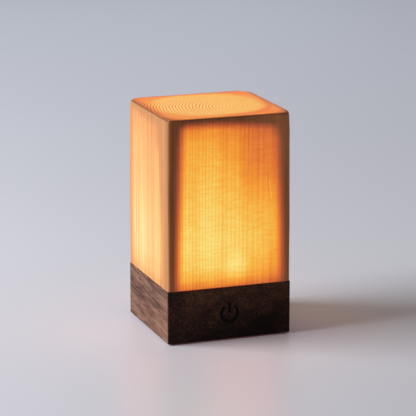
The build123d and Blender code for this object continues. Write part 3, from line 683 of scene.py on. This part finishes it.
# %% Opal cap
opal = Finish("opal_cap")
cloud = opal.pattern(0.05, 0.05, 0.05)
flange_light, cap_light = (0.10, 0.06, 0.02, 1), (0.72, 0.52, 0.26, 1)
opal.set(Base_Color=(0.86, 0.82, 0.74, 1), Roughness=0.34 + cloud * 0.1,
         Emission_Color=opal.blend(opal.z.step(42.4, 47.0), flange_light, cap_light), Emission_Strength=1.0)
dress(opal, "diffuser_dome")

# %% [markdown]
# ## Small parts
# The rest is metal, moulded plastic, rubber and printed boards. None of these is one flat colour: moulded
# plastic has a fine texture, plated metal is faintly cloudy, and all of them vary a little in gloss. Each
# could have a tree of its own, but they differ only in numbers. So one helper makes a finish from a colour, a
# gloss and the size and depth of its texture, and a table lists them.

# %% A helper for small parts
colour_shift, gloss_shift = 0.12, 0.16
finishes = {}


def small_finish(name, colour, roughness, texture, depth, metallic):
    """texture is the size of the mottling in millimetres, and depth is its relief."""
    finish = Finish(name)
    spot = finish.noise(finish.join(finish.x / texture, finish.y / texture, finish.z / texture), detail=3.0)
    darker = tuple(c * (1.0 - colour_shift) for c in colour) + (1,)
    lighter = tuple(min(1.0, c * (1.0 + colour_shift)) for c in colour) + (1,)
    finish.set(Base_Color=finish.blend(spot, darker, lighter), Metallic=metallic,
               Roughness=roughness + (spot - 0.5) * gloss_shift,
               Normal=finish.bump(spot, depth, strength=0.5))
    finishes[name] = finish
    return finish


print("small finishes stray", colour_shift, "in colour and", gloss_shift, "in roughness")

# %% Small parts: name, colour, roughness, texture, depth, metallic, and the nodes that wear it
small_parts = [
    ("plated_magnet", (0.62, 0.62, 0.64), 0.22, 0.3, 0.004, 1.0, ("shade_magnets", "base_magnets")),
    ("cover_plastic", (0.028, 0.028, 0.030), 0.55, 0.5, 0.05, 0.0, ("bottom_cover",)),
    ("zinc_screws", (0.42, 0.42, 0.44), 0.34, 0.3, 0.01, 1.0,
     ("cover_screws", "board_screws", "dome_screws")),
    ("foot_rubber", (0.030, 0.030, 0.032), 0.80, 0.6, 0.06, 0.0, ("rubber_feet",)),
    ("cell_sleeve", (0.10, 0.25, 0.50), 0.28, 6.0, 0.01, 0.0, ("battery_cell",)),
    ("nickel_strip", (0.60, 0.58, 0.54), 0.30, 0.6, 0.01, 1.0, ("battery_tabs",)),
    ("foam_tape", (0.11, 0.11, 0.11), 0.90, 0.3, 0.08, 0.0, ("battery_pad", "touch_tape")),
    ("green_board", (0.025, 0.17, 0.07), 0.38, 1.5, 0.01, 0.0, ("main_board", "touch_board")),
    ("socket_steel", (0.60, 0.60, 0.62), 0.30, 0.4, 0.006, 1.0, ("usb_socket_shell",)),
    ("socket_core", (0.04, 0.04, 0.04), 0.50, 0.4, 0.01, 0.0, ("usb_socket_tongue",)),
    ("chip_black", (0.035, 0.035, 0.040), 0.52, 0.4, 0.01, 0.0,
     ("charge_chip", "driver_chip", "touch_chip")),
    ("choke_grey", (0.14, 0.14, 0.15), 0.62, 0.4, 0.02, 0.0, ("inductor",)),
    ("ceramic", (0.46, 0.33, 0.22), 0.44, 0.4, 0.01, 0.0, ("capacitors",)),
    ("plug_ivory", (0.80, 0.79, 0.74), 0.42, 1.0, 0.02, 0.0, ("battery_plug", "led_plug", "touch_plug")),
    ("copper_pad", (0.78, 0.42, 0.26), 0.30, 0.5, 0.005, 1.0, ("touch_pad",)),
    ("aluminium_plate", (0.68, 0.68, 0.70), 0.36, 0.5, 0.01, 1.0, ("heat_spreader",)),
    ("gap_pad", (0.52, 0.54, 0.57), 0.70, 0.5, 0.03, 0.0, ("thermal_pad",)),
    ("white_board", (0.84, 0.84, 0.82), 0.36, 1.5, 0.01, 0.0, ("led_board",)),
    ("light_chip", (0.92, 0.76, 0.30), 0.40, 0.8, 0.01, 0.0, ("led_chips",)),
    ("red_lead", (0.56, 0.035, 0.028), 0.46, 1.2, 0.01, 0.0, ("battery_lead_red", "led_lead_red")),
    ("black_lead", (0.028, 0.028, 0.028), 0.48, 1.2, 0.01, 0.0, ("battery_lead_black", "led_lead_black")),
    ("grey_lead", (0.42, 0.42, 0.43), 0.50, 1.2, 0.01, 0.0, ("touch_lead",)),
]
for *look, nodes in small_parts:
    dress(small_finish(*look), *nodes)
print(len(small_parts), "small finishes")

# %% [markdown]
# ## Rubber feet
# A moulded foot has rings on its underside, so that it grips a smooth desk. The grooves could be cut one by
# one. Here one foot is a flat disc with many rings of points, and a rule on the distance from its middle
# lifts every second pair of rings, which makes all the grooves at once. The outermost ring is lifted too, so
# that the rim has a small slope. The disc is then set on four points, so that the feet are all alike.

# %% Rings under a disc
ringed = Recipe("ringed_foot", Radius=5.0, Height=1.8, Groove=0.3, Pitch=1.25, Sides=48, Rings=16)
disc_mesh = ringed.node("GeometryNodeMeshCylinder", None, {
    "Vertices": ringed.size("Sides"), "Fill Segments": ringed.size("Rings"),
    "Radius": ringed.size("Radius") * MM, "Depth": ringed.size("Height") * MM})
foot_x, foot_y, foot_z = ringed.point(ringed.node("GeometryNodeInputPosition").outputs[0])
off_centre = (foot_x * foot_x + foot_y * foot_y).root()
in_groove = (off_centre / ringed.size("Pitch") + 0.52).part().step(0.35, 0.45)
lift = foot_z.fade(-0.1, 0.1) * in_groove * ringed.size("Groove")
foot_level = foot_z + ringed.size("Height") * 0.5 + lift
moulded = ringed.node("GeometryNodeSetPosition", None, {
    "Geometry": disc_mesh.outputs[0], "Position": ringed.join(foot_x * MM, foot_y * MM, foot_level * MM)})
on_places = ringed.node("GeometryNodeInstanceOnPoints", None, {
    "Points": ringed.start.outputs["Geometry"], "Instance": ringed.crisp(moulded.outputs[0])})
print("grooves", ringed.sizes["Groove"], "mm deep, one every", ringed.sizes["Pitch"], "mm")

# %% Four feet
foot_low, foot_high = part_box("rubber_feet")
foot_radius = ringed.sizes["Radius"] * MM
foot_places = four_corners(foot_high.x - foot_radius, foot_high.y - foot_radius, foot_low.z)
feet = ringed.make("ringed_feet", points_mesh("foot_places", foot_places), on_places.outputs[0],
                   finishes["foot_rubber"])
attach(feet, "base")
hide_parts("rubber_feet")

# %% [markdown]
# ## Contacts of the charging socket
# The tongue inside the socket carries twelve gilded contacts on each side, half a millimetre apart. They are
# stamped strips that stand out a hair from the plastic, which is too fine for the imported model. Each could be
# a box of its own, but they are all alike, so one strip is repeated along a row, and the row is set on the
# upper and the lower face of the tongue.

# %% Two rows of strips
gilded = small_finish("gilded_contact", (0.83, 0.60, 0.26), 0.24, 0.3, 0.002, 1.0)
strips = Recipe("contact_strips", Count=12, Pitch=0.5, Width=0.26, Length=3.4, Proud=0.02)
row_start = (strips.size("Count") - 1.0) * strips.size("Pitch") * -0.5
row_points = strips.node("GeometryNodeMeshLine", None, {
    "Count": strips.size("Count"), "Start Location": strips.join(row_start * MM, 0.0, 0.0),
    "Offset": strips.join(strips.size("Pitch") * MM, 0.0, 0.0)})
strip = strips.node("GeometryNodeMeshCube", None, {"Size": strips.join(
    strips.size("Width") * MM, strips.size("Length") * MM, strips.size("Proud") * (2 * MM))})
one_row = strips.node("GeometryNodeInstanceOnPoints", None, {
    "Points": row_points.outputs[0], "Instance": strip.outputs[0]})
both_rows = strips.node("GeometryNodeInstanceOnPoints", None, {
    "Points": strips.start.outputs["Geometry"], "Instance": one_row.outputs[0]})
tongue_low, tongue_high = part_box("usb_socket_tongue")
tongue_half, tip_room = 0.35, 0.4
tongue_level = (tongue_low.z + tongue_high.z) / 2
strip_middle = tongue_high.y - (tip_room + strips.sizes["Length"] / 2) * MM
row_places = [(0, strip_middle, tongue_level + side * tongue_half * MM) for side in (-1, 1)]
contacts = strips.make("socket_contacts", points_mesh("row_places", row_places), both_rows.outputs[0], gilded)
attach(contacts, "base")

# %% [markdown]
# ## Floor, light and backdrop
# The lamp stands on a pale surface that runs back out of sight. The daylight is soft. It comes nearly
# straight from the left and only a little from behind, so the left side and the top are lit, the front is in
# shade, and the lamp's shadow falls to the right. The floor has a low sheen. In front of the lamp a painted
# reflection of the glow is added, and round the foot a painted warm light from the lamp. What the camera sees
# of the floor is also lifted by a light of its own, most behind the lamp and far off. Only the camera and
# reflections see that light, so the background is pale without more light on the lamp.

# %% A light that only the camera and reflections see
def seen_directly(tree):
    """1 for what the camera, a mirror or glass shows, and 0 for light that falls on the object."""
    ray = tree.node("ShaderNodeLightPath")
    camera_ray, glossy, glass = (Value(tree, ray.outputs[name]) for name in (
        "Is Camera Ray", "Is Glossy Ray", "Is Transmission Ray"))
    return (camera_ray + glossy + glass).low(1.0)


# %% Floor
floor_mesh = bpy.data.meshes.new("floor")
reach = 6.0
floor_corners = [(-reach, -reach, 0), (reach, -reach, 0), (reach, reach, 0), (-reach, reach, 0)]
floor_mesh.from_pydata(floor_corners, [], [(0, 1, 2, 3)])
floor = bpy.data.objects.new("floor", floor_mesh)
bpy.context.scene.collection.objects.link(floor)
print("floor of", 2 * reach, "m")

# %% Finish of the floor
ground = Finish("pale_floor")
distance = (ground.x * ground.x + ground.y * ground.y).root()
far_off = distance.step(150.0, 1500.0)
turn_cosine, turn_sine = math.cos(camera_turn), math.sin(camera_turn)
aside = ground.x * turn_cosine + ground.y * turn_sine
nearer = ground.x * turn_sine - ground.y * turn_cosine
nothing, painted_glow_reflection, painted_lamp_light_on_floor = (0.0, 0.0, 0.0, 1), (0.075, 0.010, 0.014, 1), (0.030, 0.001, 0.001, 1)
behind_lift, far_lift = (0.046, 0.056, 0.062, 1), (0.105, 0.130, 0.160, 1)
# Painted reflection of the lamp's glow: two warm streaks on the floor in front of the lamp.
glow_reflection_streaks = (aside - 22.0).near(8.0, 38.0) + (aside + 46.0).near(2.0, 26.0) * 0.6
near_floor = ground.blend(glow_reflection_streaks * nearer.step(40.0, 110.0), nothing, painted_glow_reflection)
# Painted warm light from the lamp on the floor round its foot, in the shadow too.
near_floor = ground.blend(distance.fade(60.0, 170.0), near_floor, painted_lamp_light_on_floor, "ADD")
behind = (0.0 - nearer).step(-150.0, 250.0) * (1.0 - aside.step(0.0, 400.0) * far_off * 0.9)
near_floor = ground.blend(behind, near_floor, behind_lift, "ADD")
lifted = ground.blend(far_off, near_floor, far_lift, "ADD")
ground.set(Base_Color=(0.82, 0.85, 0.955, 1), Roughness=0.38, Specular_IOR_Level=0.45,
           Emission_Color=ground.scaled(lifted, seen_directly(ground)), Emission_Strength=1.0)
floor_mesh.materials.append(ground.material)
print("floor finish has", len(ground.tree.nodes), "nodes")

# %% Light and world
slope, light_distance, aim_height = math.radians(35), 1.6, 0.08
from_left, from_behind = 0.985, 0.17
key = bpy.data.objects.new("daylight", bpy.data.lights.new("daylight", "AREA"))
key.data.energy = 26.7
key.data.size = 1.05
from_lamp = Vector((-from_left * math.cos(slope), from_behind * math.cos(slope), math.sin(slope)))
key.location = Vector((0, 0, aim_height)) + from_lamp * light_distance
key.rotation_euler = from_lamp.to_track_quat("Z", "Y").to_euler()
bpy.context.scene.collection.objects.link(key)
room_light, room_seen = (0.113, 0.082, 0.071, 1), (0.50, 0.51, 0.56, 1)
world = bpy.data.worlds.new("room")
bpy.context.scene.world = world
world.use_nodes = True
sky = Tree(world.node_tree)
shown = sky.blend(seen_directly(sky), room_light, room_seen)
sky.connect(shown, world.node_tree.nodes["Background"].inputs["Color"])
bpy.context.scene.view_settings.view_transform = "Standard"
print("daylight of", round(key.data.energy, 1), "W")
